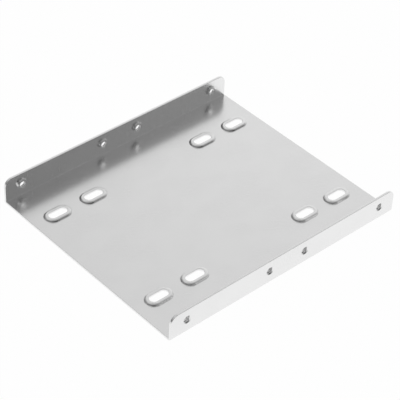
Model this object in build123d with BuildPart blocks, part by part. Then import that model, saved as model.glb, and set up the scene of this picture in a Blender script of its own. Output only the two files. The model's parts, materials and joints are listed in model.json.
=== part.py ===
"""A folded sheet bracket that holds a 2.5 inch drive in a 3.5 inch drive bay.

It is one blank of plated steel, pierced and pressed flat, then folded up along two sides.
X runs along the folds, Y across them and Z up. The origin is the middle of the underside.
All sizes are in millimetres.
"""

import os
from math import radians, tan

from build123d import *

# Blank and folds
sheet = 1.0  # gauge of the steel
length = 117.6  # along the folds
width = 101.6  # over both flanges, the width of a 3.5 inch drive
flange_height = 11.4  # from the underside of the base to the top of a flange
bend_radius = 0.3  # inside the folds
corner_radius = 3.6  # on the free corners of the flanges

# Side screw holes: 6-32 threads in collars that a punch draws inwards from the flanges
side_pitch = 101.6  # between the end holes, as on a 3.5 inch drive
side_middle = 41.6  # from an end hole to the middle hole that goes with it
side_level = 6.35  # height of the holes above the underside
tap_diameter = 2.8  # before threading
collar_diameter = 4.7
collar_height = 0.9  # proud of the flange's inside
draw_mouth = 0.35  # bevel round the hole on the outside, where the punch went in

# Base slots, for a 2.5 inch drive screwed on from below
drive_length_pitch = 76.6  # between the drive's bottom holes, along X
drive_width_pitch = 61.72  # between the drive's bottom holes, along Y
drive_shift = 18.0  # between the two places that the drive can take
slot_length = 8.6
slot_width = 3.8
pad_margin = 1.85  # from the edge of a slot to the foot of its raised pad
pad_rise = 0.9  # of the pads above the base, which makes room below for a screw's head
pad_lean = 40.0  # degrees that a pad's wall leans from upright
pad_radius = 0.6  # round the top of a pad
recess_mouth = 0.35  # bevel round the recess under a pad

side_inner_pitch = side_pitch - 2 * side_middle
side_places = [(x, side_level) for pitch in (side_pitch, side_inner_pitch) for x in (-pitch / 2, pitch / 2)]
drive_places = [(-drive_shift / 2, 0), (drive_shift / 2, 0)]

# The wall of a pad is as thick as the sheet when measured square to its slope
pad_slope = radians(90 - pad_lean)
recess_margin = pad_margin - sheet * tan(pad_slope / 2)

# The strip is pressed with some to spare at each end and then cut off to length
strip_length = length + 2 * slot_length


def new_edges(builder, axis, level):
    """The edges that the last step made and whose middles lie at one level along an axis."""
    return builder.edges(Select.LAST).filter_by_position(axis, level - 0.01, level + 0.01)


def sketch_slots(plane, margin):
    """All eight slots on one plane, each grown all round by a margin."""
    with BuildSketch(plane) as slots:
        with Locations(*drive_places):
            with GridLocations(drive_length_pitch, drive_width_pitch, 2, 2):
                SlotOverall(slot_length + 2 * margin, slot_width + 2 * margin)
    return slots.sketch


def sketch_side_holes(plane, diameter):
    """The four screw holes of one flange on a plane that stands along it."""
    with BuildSketch(plane) as holes:
        with Locations(*side_places):
            Circle(diameter / 2)
    return holes.sketch


with BuildPart() as bracket:
    # The section follows the outside of the sheet and is thickened inwards
    with BuildSketch(Plane.YZ.offset(-strip_length / 2)):
        with BuildLine():
            FilletPolyline(
                (-width / 2, flange_height),
                (-width / 2, 0),
                (width / 2, 0),
                (width / 2, flange_height),
                radius=bend_radius + sheet,
            )
            offset(amount=sheet, side=Side.LEFT)
        make_face()
    extrude(amount=strip_length)

    # The raised pads round the slots, and under each a recess for a screw's head
    extrude(sketch_slots(Plane.XY.offset(sheet), pad_margin), amount=pad_rise, taper=pad_lean)
    fillet(new_edges(bracket, Axis.Z, sheet + pad_rise), radius=pad_radius)
    extrude(sketch_slots(Plane.XY, recess_margin), amount=pad_rise, taper=pad_lean, mode=Mode.SUBTRACT)
    chamfer(new_edges(bracket, Axis.Z, 0), recess_mouth)

    # The slots are pierced through the pads
    extrude(sketch_slots(Plane.XY, 0), amount=sheet + pad_rise, mode=Mode.SUBTRACT)

    # The cut to length, then the free corners of the flanges
    for end in (-1, 1):
        split(bisect_by=Plane(origin=(end * length / 2, 0, 0), z_dir=(-end, 0, 0)), keep=Keep.TOP)
    fillet(bracket.edges().filter_by(Axis.Y).group_by(Axis.Z)[-1], radius=corner_radius)

    # The screw holes of each flange are drawn inwards into collars and bored for the tap
    for side in (-1, 1):
        outside = Plane(origin=(0, side * width / 2, 0), x_dir=(side, 0, 0), z_dir=(0, -side, 0))
        extrude(sketch_side_holes(outside.offset(sheet), collar_diameter), amount=collar_height)
        extrude(
            sketch_side_holes(outside, tap_diameter),
            amount=sheet + collar_height,
            mode=Mode.SUBTRACT,
        )
        chamfer(new_edges(bracket, Axis.Y, outside.origin.Y), draw_mouth)

bracket.part.label = "bracket"
os.makedirs("parts", exist_ok=True)
export_step(bracket.part, "parts/bracket.step")
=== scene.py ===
import json
from math import cos, pi, radians, sin, tan

import bpy
from mathutils import Matrix, Vector


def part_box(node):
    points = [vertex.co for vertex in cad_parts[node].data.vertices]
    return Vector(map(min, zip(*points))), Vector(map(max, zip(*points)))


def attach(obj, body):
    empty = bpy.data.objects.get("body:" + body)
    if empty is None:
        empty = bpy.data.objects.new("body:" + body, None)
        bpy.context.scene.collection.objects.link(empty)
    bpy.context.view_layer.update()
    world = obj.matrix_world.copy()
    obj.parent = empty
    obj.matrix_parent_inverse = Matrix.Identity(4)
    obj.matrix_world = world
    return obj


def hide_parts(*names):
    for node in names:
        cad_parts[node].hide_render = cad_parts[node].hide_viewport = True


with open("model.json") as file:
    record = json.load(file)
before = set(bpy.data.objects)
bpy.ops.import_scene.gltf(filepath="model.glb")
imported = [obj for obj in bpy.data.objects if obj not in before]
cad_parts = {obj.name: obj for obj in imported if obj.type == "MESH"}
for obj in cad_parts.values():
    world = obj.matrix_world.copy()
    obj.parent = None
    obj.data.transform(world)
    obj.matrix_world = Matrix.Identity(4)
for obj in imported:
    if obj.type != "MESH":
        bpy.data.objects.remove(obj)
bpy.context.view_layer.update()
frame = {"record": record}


# The bracket is one blank of plated sheet steel, 1 mm thick. It is cut to a rectangle with rounded
# corners and folded up along both long sides in a press brake, with a sharp inside radius. Its cut
# edges are lightly broken by tumbling.
mm = 0.001
lowest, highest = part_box("bracket")
length, width, flange_height = highest - lowest
sheet = 1.0 * mm
outer_bend = 1.3 * mm
outer_bend_steps = 12
inner_bend = 0.1 * mm
inner_bend_steps = 8
corner_radius = 3.6 * mm
corner_steps = 20
edge_break = 0.15 * mm
edge_break_steps = 3
sharp_turn = radians(60)
cutter_spare = 10 * mm  # by which a cutter stands out of the sheet at each end
nearly = 0.1 * mm  # within which two places count as the same


def deselect_all():
    bpy.ops.object.select_all(action="DESELECT")


def pick_edges(solid, wanted):
    """Goes into edit mode with the edges selected whose two ends pass a test."""
    bpy.ops.object.mode_set(mode="EDIT")
    bpy.ops.mesh.select_mode(type="EDGE")
    bpy.ops.mesh.select_all(action="DESELECT")
    bpy.ops.object.mode_set(mode="OBJECT")
    corners = solid.data.vertices
    for edge in solid.data.edges:
        start, end = (corners[i].co for i in edge.vertices)
        edge.select = wanted(start, end)
    bpy.ops.object.mode_set(mode="EDIT")


def add_block(name, size, base):
    """A block of a size along X, Y and Z whose underside lies at a height."""
    deselect_all()
    bpy.ops.mesh.primitive_cube_add(size=1, location=(0, 0, base + size[2] / 2), scale=size)
    block = bpy.context.active_object
    block.name = name
    bpy.ops.object.transform_apply()
    return block


def round_folds(block, base, radius, steps):
    """Rounds the two long bottom edges of a block."""
    pick_edges(block, lambda a, b: abs(a.y - b.y) + abs(a.z - b.z) < nearly and a.z < base + nearly)
    bpy.ops.mesh.bevel(offset=radius, segments=steps, clamp_overlap=False)
    bpy.ops.object.mode_set(mode="OBJECT")


def combine(solid, tool, operation):
    """Adds a tool's shape to a solid or cuts it away, and removes the tool."""
    deselect_all()
    bpy.context.view_layer.objects.active = solid
    solid.select_set(True)
    joining = solid.modifiers.new("joining", "BOOLEAN")
    joining.operation = operation
    joining.solver = "MANIFOLD"
    joining.object = tool
    bpy.ops.object.modifier_apply(modifier=joining.name)
    bpy.data.objects.remove(tool)


bracket = add_block("bracket_sheet", (length, width, flange_height), 0)
round_folds(bracket, 0, outer_bend, outer_bend_steps)
inside = add_block("inside", (length + 2 * cutter_spare, width - 2 * sheet, flange_height), sheet)
round_folds(inside, sheet, inner_bend, inner_bend_steps)
combine(bracket, inside, "DIFFERENCE")

# The free corners of the flanges are cut round, and then every cut edge is broken
pick_edges(bracket, lambda a, b: min(a.z, b.z) > flange_height - nearly and abs(a.x - b.x) < nearly)
bpy.ops.mesh.bevel(offset=corner_radius, segments=corner_steps, clamp_overlap=False)
bpy.ops.mesh.select_all(action="DESELECT")
bpy.ops.mesh.edges_select_sharp(sharpness=sharp_turn)
bpy.ops.mesh.bevel(offset=edge_break, segments=edge_break_steps, clamp_overlap=False)
bpy.ops.object.mode_set(mode="OBJECT")


# Eight slots for the drive's bottom screws sit in raised pads. The press draws each pad up from the
# flat sheet with a rounded foot and shoulder, which leaves a recess for the screw's head below, and
# then pierces the slot, whose rims roll over a little.
mounts = {mount["name"]: mount for mount in frame["record"]["mounts"]}
slots = mounts["drive_slots_near"]["dims"]
slot_half = slots["hole_r_mm"]
slot_pull = slots["slot_length_mm"] - 2 * slot_half
pad_top = mounts["pad_top"]["pos_m"][2] / mm
sheet_mm = sheet / mm
pad_rise = pad_top - sheet_mm
pad_margin = 1.85
pad_lean = 25  # degrees from upright
shoulder_radius = 0.9
foot_radius = 0.25
mouth_reach = 0.35
ceiling_radius = 0.3
rim_radius = 0.15

# How far a tool goes beyond the form that it leaves, so that no two faces only touch
skim = 0.002  # through a face
spare = 0.1  # sideways
rim_spare = 0.05  # sideways at a rim
clearance = 1  # out into the air


def arc(centre, radius, start, end, steps=6):
    """Points (radius, height) along a circle between two angles in degrees."""
    turns = [radians(start + (end - start) * i / steps) for i in range(steps + 1)]
    return [(centre[0] + radius * cos(turn), centre[1] + radius * sin(turn)) for turn in turns]


def turned_solid(name, rings, pull=0.0, sides=66):
    """A solid with a round section at each (radius, height) in mm, pulled out along X by a length."""
    deselect_all()
    radius, height = rings[0]
    bpy.ops.mesh.primitive_circle_add(
        vertices=sides,
        radius=radius * mm,
        fill_type="NGON",
        location=(0, 0, height * mm),
        rotation=(0, 0, pi / 2),
    )
    solid = bpy.context.active_object
    solid.name = name
    bpy.ops.object.transform_apply()
    bpy.ops.object.mode_set(mode="EDIT")
    bpy.ops.mesh.select_mode(type="FACE")
    bpy.ops.mesh.select_all(action="SELECT")
    for next_radius, next_height in rings[1:]:
        rise = (0, 0, (next_height - height) * mm)
        bpy.ops.mesh.extrude_region_move(TRANSFORM_OT_translate={"value": rise})
        growth = next_radius / radius
        bpy.ops.transform.resize(value=(growth, growth, 1), center_override=(0, 0, 0))
        radius, height = next_radius, next_height
    if pull:
        pick_edges(solid, lambda a, b: min(a.x, b.x) > 0)
        bpy.ops.transform.translate(value=(pull / 2 * mm, 0, 0))
        pick_edges(solid, lambda a, b: max(a.x, b.x) < 0)
        bpy.ops.transform.translate(value=(-pull / 2 * mm, 0, 0))
    bpy.ops.mesh.select_all(action="SELECT")
    bpy.ops.mesh.normals_make_consistent(inside=False)
    bpy.ops.object.mode_set(mode="OBJECT")
    return solid


def repeat(solid, places):
    """Copies a solid to each (location, turn about X) of a list and joins the copies."""
    copies = []
    for location, turn in places:
        copy = solid.copy()
        copy.data = solid.data.copy()
        copy.location = location
        copy.rotation_euler = (turn, 0, 0)
        bpy.context.scene.collection.objects.link(copy)
        copies.append(copy)
    bpy.data.objects.remove(solid)
    deselect_all()
    for copy in copies:
        copy.select_set(True)
    bpy.context.view_layer.objects.active = copies[0]
    bpy.ops.object.join()
    bpy.ops.object.transform_apply()
    return copies[0]


slot_out_x = slots["spacing_x_mm"] / 2 * mm
slot_out_y = slots["spacing_y_mm"] / 2 * mm
slot_places = [
    ((mounts[name]["pos_m"][0] + i * slot_out_x, j * slot_out_y, 0), 0)
    for name in ("drive_slots_near", "drive_slots_far")
    for i in (-1, 1)
    for j in (-1, 1)
]

lean = tan(radians(pad_lean))
half_slope = tan(radians(90 - pad_lean) / 2)
foot = slot_half + pad_margin
foot_start = foot + foot_radius * half_slope
shoulder = foot - pad_rise * lean - shoulder_radius * half_slope
pad_rings = [(foot_start + spare, sheet_mm / 2), (foot_start + spare, sheet_mm - skim)]
pad_rings += arc((foot_start, sheet_mm + foot_radius), foot_radius, 270, 180 + pad_lean)
pad_rings += arc((shoulder, pad_top - shoulder_radius), shoulder_radius, pad_lean, 90, steps=10)
pads = repeat(turned_solid("pads", pad_rings, slot_pull), slot_places)
combine(bracket, pads, "UNION")

# The punch's wall lies one gauge inside the pad's, square to its slope
mouth = foot - sheet_mm * half_slope
mouth_radius = mouth_reach / half_slope
mouth_start = mouth + mouth_reach
ceiling = mouth - pad_rise * lean - ceiling_radius * half_slope
rim = slot_half + rim_radius
punch_rings = [(mouth_start + spare, -clearance), (mouth_start + spare, -skim)]
punch_rings += arc((mouth_start, mouth_radius), mouth_radius, 270, 180 + pad_lean)
punch_rings += arc((ceiling, pad_rise - ceiling_radius), ceiling_radius, pad_lean, 90)
punch_rings += arc((rim, pad_rise + rim_radius), rim_radius, 270, 180, steps=4)
punch_rings += arc((rim, pad_top - rim_radius), rim_radius, 180, 90, steps=4)
punch_rings += [(rim + rim_spare, pad_top + skim), (rim + rim_spare, pad_top + clearance)]
punches = repeat(turned_solid("punches", punch_rings, slot_pull), slot_places)
combine(bracket, punches, "DIFFERENCE")


# Eight side holes, four in each flange, take the bay's 6-32 screws. A punch draws the sheet inwards
# into a short collar, whose wall gives the thread its length, and leaves a bevelled mouth on the
# outside. The thread is then tapped.
hole_radius = mounts["front_end_holes"]["dims"]["hole_r_mm"]
hole_height = mounts["front_end_holes"]["pos_m"][2]
collar_radius = 2.35
collar_height = 0.9
collar_root = 0.12
collar_lip = 0.06
draw_mouth = 0.4
bore_break = 0.12
thread_pitch = 0.794
thread_depth = 0.35
thread_turns = 5
turn_steps = 32
smooth_turn = radians(35)

hole_places = [
    ((i * mounts[name]["dims"]["spacing_x_mm"] / 2 * mm, side * width / 2, hole_height), side * pi / 2)
    for name in ("front_end_holes", "front_middle_holes")
    for i in (-1, 1)
    for side in (-1, 1)
]

collar_end = sheet_mm + collar_height
collar_foot = collar_radius + collar_root
collar_rings = [(collar_foot + spare, sheet_mm / 2), (collar_foot + spare, sheet_mm - skim)]
collar_rings += arc((collar_foot, sheet_mm + collar_root), collar_root, 270, 180, steps=5)
collar_rings += arc((collar_radius - collar_lip, collar_end - collar_lip), collar_lip, 0, 90, steps=5)
collars = repeat(turned_solid("collars", collar_rings), hole_places)
combine(bracket, collars, "UNION")

mouth_rim = hole_radius + draw_mouth
bore_rim = hole_radius + bore_break
bore_rings = [(mouth_rim + rim_spare, -clearance), (mouth_rim + rim_spare, -skim)]
bore_rings += [(mouth_rim, 0), (hole_radius, draw_mouth)]
bore_rings += arc((bore_rim, collar_end - bore_break), bore_break, 180, 90, steps=3)
bore_rings += [(bore_rim + rim_spare, collar_end + skim), (bore_rim + rim_spare, collar_end + clearance)]
bores = repeat(turned_solid("bores", bore_rings), hole_places)
combine(bracket, bores, "DIFFERENCE")

# The tap's tooth is a flat face that narrows to its crest, swept up a screw line
root_share = 0.86  # of the pitch, which keeps each turn clear of the next
root_width = thread_pitch * root_share
crest_width = thread_pitch / 8
tooth_root = hole_radius - spare
tooth_crest = hole_radius + thread_depth
deselect_all()
bpy.ops.mesh.primitive_plane_add(
    size=1,
    location=((tooth_root + tooth_crest) / 2 * mm, 0, -thread_pitch * mm),
    rotation=(pi / 2, 0, 0),
)
tap = bpy.context.active_object
tap.scale = ((tooth_crest - tooth_root) * mm, root_width * mm, 1)
bpy.ops.object.transform_apply()
pick_edges(tap, lambda a, b: min(a.x, b.x) > hole_radius * mm)
narrowing = crest_width / root_width
bpy.ops.transform.resize(value=(1, 1, narrowing), center_override=(0, 0, -thread_pitch * mm))
bpy.ops.object.mode_set(mode="OBJECT")
sweep = tap.modifiers.new("sweep", "SCREW")
sweep.screw_offset = thread_pitch * mm
sweep.iterations = thread_turns
sweep.steps = turn_steps
sweep.render_steps = turn_steps
bpy.ops.object.modifier_apply(modifier=sweep.name)
bpy.ops.object.mode_set(mode="EDIT")
bpy.ops.mesh.select_all(action="SELECT")
bpy.ops.mesh.fill_holes(sides=4)
bpy.ops.mesh.select_all(action="SELECT")
bpy.ops.mesh.normals_make_consistent(inside=False)
bpy.ops.object.mode_set(mode="OBJECT")
combine(bracket, repeat(tap, hole_places), "DIFFERENCE")

deselect_all()
bracket.select_set(True)
bpy.context.view_layer.objects.active = bracket
bpy.ops.object.shade_smooth_by_angle(angle=smooth_turn)
even = bracket.modifiers.new("even", "WEIGHTED_NORMAL")
even.keep_sharp = True
bpy.ops.object.modifier_apply(modifier=even.name)
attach(bracket, "root")
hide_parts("bracket")


# The finish is bright zinc plating over cold-rolled steel. It is neutral grey and softly mirroring,
# with the faint grain of the rolling along the folds, broad clouds and a few fine rub marks. The cut
# edges are slightly rougher, and the tops of the pads are rubbed a little smoother.
plate_tint = (0.855, 0.855, 0.855, 1)
cloud_tint = (0.84, 0.84, 0.84, 1)
cut_tint = (0.86, 0.86, 0.86, 1)
cut_share = 0.8  # of the cut edges' own tint
grain_spots = (20 * mm, 0.16 * mm, 0.16 * mm)  # length, width and depth of a streak of the grain
cloud_spots = (17 * mm, 11 * mm, 11 * mm)
rub_spots = (8 * mm, 0.14 * mm, 8 * mm)
rub_turn = radians(34)
grain_depth = 0.0004  # mm
cloud_depth = 0.005  # mm
plate_roughness = 0.21
grain_roughness = 0.03
cloud_roughness = 0.03
rub_roughness = 0.07
cut_roughness = 0.04
crown_polish = 0.03

# Where each mask starts and where it is full
cloud_limits = (0.35, 0.65)  # of the clouds' noise
rub_limits = (0.64, 0.72)  # of the rub marks' noise
rubbed_limits = (0.48, 0.6)  # of the clouds' noise, where the plate is rubbed at all
cut_limits = (0.93, 0.98)  # of the square of the way out to the outline
crown_limits = ((pad_top - 0.25) * mm, (pad_top - 0.05) * mm)  # height
base_limits = (40 * mm, 38 * mm)  # sideways, which leaves the flanges out


class Value:
    """A number on a node's socket, with arithmetic that adds Math nodes."""

    def __init__(self, nodes, socket):
        self.nodes = nodes
        self.socket = socket

    def math(self, operation, *numbers):
        return self.nodes.add("ShaderNodeMath", {"operation": operation}, numbers)

    def __add__(self, other):
        return self.math("ADD", self, other)

    def __radd__(self, other):
        return self.math("ADD", other, self)

    def __sub__(self, other):
        return self.math("SUBTRACT", self, other)

    def __rsub__(self, other):
        return self.math("SUBTRACT", other, self)

    def __mul__(self, other):
        return self.math("MULTIPLY", self, other)

    def __rmul__(self, other):
        return self.math("MULTIPLY", other, self)

    def __abs__(self):
        return self.math("ABSOLUTE", self)

    def at_least(self, other):
        return self.math("MAXIMUM", self, other)


class Nodes:
    """The node tree of a material or of the world, cleared and ready to fill."""

    def __init__(self, owner):
        owner.use_nodes = True
        self.tree = owner.node_tree
        self.tree.nodes.clear()

    def add(self, kind, settings, inputs, output=0):
        """Adds a node with its settings and then its sockets' values or links, and gives one output."""
        node = self.tree.nodes.new(kind)
        for name, value in settings.items():
            setattr(node, name, value)
        pairs = inputs.items() if isinstance(inputs, dict) else enumerate(inputs)
        for key, value in pairs:
            if isinstance(value, Value):
                self.tree.links.new(value.socket, node.inputs[key])
            else:
                node.inputs[key].default_value = value
        if node.outputs:
            return Value(self, node.outputs[output])

    def add_split(self, vector):
        """The three numbers of a vector."""
        x = self.add("ShaderNodeSeparateXYZ", {}, [vector])
        return x, Value(self, x.socket.node.outputs["Y"]), Value(self, x.socket.node.outputs["Z"])

    def add_ramp(self, value, start, full, height=1.0):
        """A soft step from 0 up to a height as a value goes from start to full."""
        limits = {"Value": value, "From Min": start, "From Max": full, "To Min": 0.0, "To Max": height}
        return self.add("ShaderNodeMapRange", {"interpolation_type": "SMOOTHSTEP"}, limits)

    def add_noise(self, place, spots):
        """Noise from 0 to 1 whose spots have a size along X, Y and Z."""
        spaced = self.add("ShaderNodeVectorMath", {"operation": "DIVIDE"}, [place, spots])
        return self.add("ShaderNodeTexNoise", {}, {"Vector": spaced, "Scale": 1.0, "Detail": 2.0})

    def add_mix(self, mask, first, second):
        """One colour where a mask is 0 and another where it is 1."""
        colours = {"Factor": mask, 6: first, 7: second}
        return self.add("ShaderNodeMix", {"data_type": "RGBA"}, colours, 2)


plating = bpy.data.materials.new("bright_plating")
nodes = Nodes(plating)
place = nodes.add("ShaderNodeTexCoord", {}, {}, "Object")
x, y, z = nodes.add_split(place)
grain = nodes.add_noise(place, grain_spots)
clouds = nodes.add_noise(place, cloud_spots)
turned = nodes.add("ShaderNodeMapping", {}, {"Vector": place, "Rotation": (0, 0, rub_turn)})
rubs = nodes.add_ramp(nodes.add_noise(turned, rub_spots), *rub_limits)
rubs = rubs * nodes.add_ramp(clouds, *rubbed_limits)

# The cut edges are where the outline of the ends, tops and round corners is reached
end = (abs(x) - (length / 2 - corner_radius)) * (1 / corner_radius)
top = (z - (flange_height - corner_radius)) * (1 / corner_radius)
end = end.at_least(0.0)
top = top.at_least(0.0)
cut = nodes.add_ramp(end * end + top * top, *cut_limits)
crowns = nodes.add_ramp(z, *crown_limits) * nodes.add_ramp(abs(y), *base_limits)

tint = nodes.add_mix(nodes.add_ramp(clouds, *cloud_limits), plate_tint, cloud_tint)
tint = nodes.add_mix(cut * cut_share, tint, cut_tint)
roughness = plate_roughness + grain * grain_roughness + clouds * cloud_roughness
roughness = roughness + rubs * rub_roughness + cut * cut_roughness - crowns * crown_polish
height = grain * grain_depth + clouds * cloud_depth
relief = nodes.add("ShaderNodeBump", {}, {"Distance": mm, "Height": height})
metal = nodes.add(
    "ShaderNodeBsdfPrincipled",
    {},
    {"Base Color": tint, "Metallic": 1.0, "Roughness": roughness, "Normal": relief},
)
nodes.add("ShaderNodeOutputMaterial", {}, [metal])
bracket.data.materials.clear()
bracket.data.materials.append(plating)


# The floor is a white table top. It shows as white to the camera and in the metal, and keeps the
# bracket's shadow. From below it is clear, so that the underside of the base can be seen.
floor_size = 8
floor_gap = 0.02 * mm
paper_white = (0.9, 0.9, 0.9, 1)
pure_white = (1, 1, 1, 1)
glow_share = 0.985  # of what the camera sees of the floor, and the rest takes the shadow
bpy.ops.mesh.primitive_plane_add(size=floor_size, location=(0, 0, -floor_gap))
floor = bpy.context.active_object
floor.name = "floor"
floor_white = bpy.data.materials.new("floor_white")
nodes = Nodes(floor_white)
paper = nodes.add("ShaderNodeBsdfDiffuse", {}, {"Color": paper_white})
glow = nodes.add("ShaderNodeEmission", {}, {"Color": pure_white, "Strength": 1.0})
seen = nodes.add("ShaderNodeLightPath", {}, {}, "Is Camera Ray")
mirrored = nodes.add("ShaderNodeLightPath", {}, {}, "Is Glossy Ray")
table = nodes.add("ShaderNodeMixShader", {}, [seen * glow_share + mirrored, paper, glow])
below = nodes.add("ShaderNodeNewGeometry", {}, {}, "Backfacing")
clear = nodes.add("ShaderNodeBsdfTransparent", {}, {})
surface = nodes.add("ShaderNodeMixShader", {}, [below, table, clear])
nodes.add("ShaderNodeOutputMaterial", {}, [surface])
floor.data.materials.append(floor_white)


# The light is a soft, uneven surround. It is strongest overhead, beyond the bracket and on its right,
# and the room on the camera's side is dim. To the camera the world is plain white.
surround = 0.04
soft_lights = [  # the direction that each comes from, the cosines where it starts and is full, strength
    ((0.00, 0.00, 1.00), 0.62, 0.85, 0.36),
    ((0.53, 0.56, 0.64), 0.50, 1.00, 0.065),
    ((0.62, 0.62, 0.48), 0.80, 1.05, 0.26),
    ((0.45, 0.87, 0.20), 0.60, 1.00, 0.30),
    ((0.85, 0.45, 0.28), 0.60, 1.00, 0.27),
    ((0.93, 0.36, 0.05), 0.60, 0.95, 0.14),
    ((0.90, -0.30, 0.32), 0.60, 1.00, 0.37),
    ((-0.45, 0.77, 0.45), 0.60, 1.00, 0.14),
    ((-0.30, 0.56, 0.77), 0.75, 1.00, 0.20),
    ((-0.90, 0.05, 0.43), 0.60, 1.00, 0.14),
    ((-0.60, -0.60, 0.53), 0.50, 1.00, 0.07),
]
world = bpy.data.worlds.new("studio")
bpy.context.scene.world = world
nodes = Nodes(world)
direction = nodes.add("ShaderNodeTexCoord", {}, {}, "Generated")
lit = surround
for towards, start, full, strength in soft_lights:
    facing = nodes.add("ShaderNodeVectorMath", {"operation": "DOT_PRODUCT"}, [direction, towards], "Value")
    lit = lit + nodes.add_ramp(facing, start, full, strength)
light = nodes.add("ShaderNodeBackground", {}, {"Color": pure_white, "Strength": lit})
white = nodes.add("ShaderNodeBackground", {}, {"Color": pure_white, "Strength": 1.0})
camera_ray = nodes.add("ShaderNodeLightPath", {}, {}, "Is Camera Ray")
sky = nodes.add("ShaderNodeMixShader", {}, [camera_ray, light, white])
nodes.add("ShaderNodeOutputWorld", {}, [sky])


# The camera looks down on the bracket from beyond one of its corners, as in the photograph. Its lens
# is long, so that the far flange looks hardly smaller than the near one.
azimuth = radians(-43.3)
elevation = radians(39.92)
roll = radians(2.85)
distance = 0.6308
back = Vector((sin(azimuth) * cos(elevation), -cos(azimuth) * cos(elevation), sin(elevation)))
camera_data = bpy.data.cameras.new("camera")
camera_data.lens = 141.36
camera_data.sensor_width = 36
camera_data.shift_x = 0.0031
camera_data.shift_y = 0.0173
camera_data.clip_start = 0.01
camera = bpy.data.objects.new("camera", camera_data)
bpy.context.scene.collection.objects.link(camera)
level = (-back).to_track_quat("-Z", "Y").to_matrix()
camera.matrix_world = Matrix.Translation(back * distance) @ (level @ Matrix.Rotation(roll, 3, "Z")).to_4x4()
bpy.context.scene.camera = camera
bpy.context.scene.view_settings.view_transform = "Standard"
